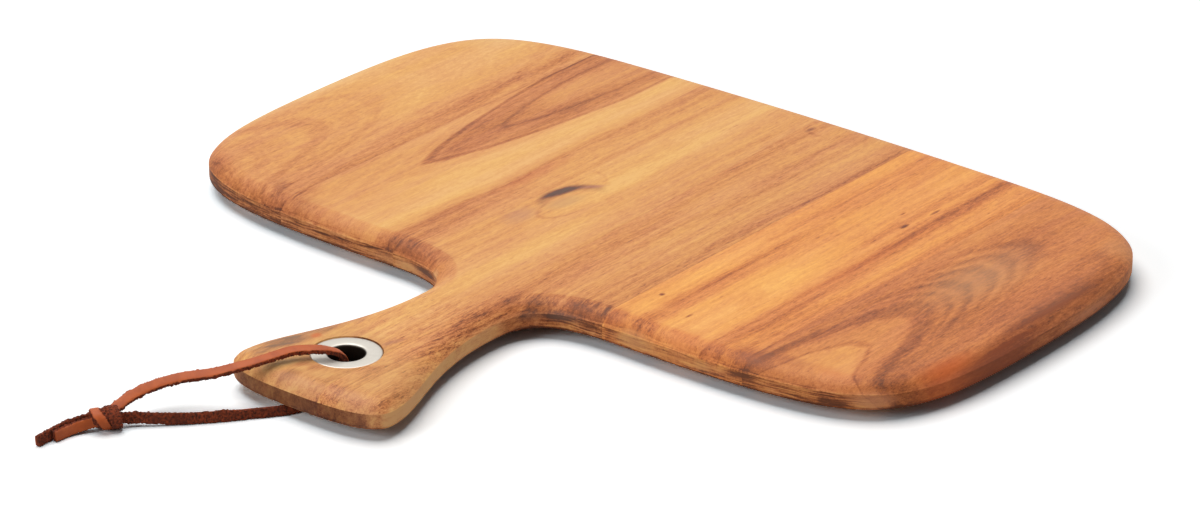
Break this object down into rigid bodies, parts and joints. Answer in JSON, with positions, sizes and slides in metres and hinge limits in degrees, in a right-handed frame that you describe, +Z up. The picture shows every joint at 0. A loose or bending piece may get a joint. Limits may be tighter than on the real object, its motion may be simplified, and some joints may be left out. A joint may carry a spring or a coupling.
{
  "type": "paddle serving board",
  "caption": "Paddle-shaped wooden serving board of glued staves with bevelled edges, a low foot, a metal grommet in the handle and a knotted leather hanging lace.",
  "frame": {"origin": "on the table, under the middle of the board's bounding box, measured without the lace", "axes": "+X across the board along its longest extent, +Y away from the handle, +Z up out of the serving face"},
  "size_m": [0.38, 0.4124, 0.0211],
  "materials": {
    "wood_1": "oiled, satin",
    "wood_2": "oiled, satin",
    "wood_3": "oiled, satin",
    "wood_4": "oiled, satin",
    "wood_5": "oiled, satin",
    "wood_6": "oiled, satin",
    "steel": "satin",
    "leather": "smooth on one side, suede on the other"
  },
  "bodies": {
    "board": {"stave_1": "wood_1", "stave_2": "wood_2", "stave_3": "wood_3", "stave_4": "wood_4", "stave_5": "wood_5", "stave_6": "wood_6", "grommet_eyelet": "steel", "grommet_washer": "steel"},
    "lace": {"lace_upper": "leather", "lace_lower": "leather", "lace_knot": "leather", "lace_tail_back": "leather", "lace_tail_front": "leather"}
  },
  "joints": [
    {"name": "lace_swivel", "type": "hinge", "parent": "board", "child": "lace", "pos_m": [-0.002, -0.13435, 0.01], "axis": [0, 0, 1], "range_deg": [-60, 110]}
  ]
}
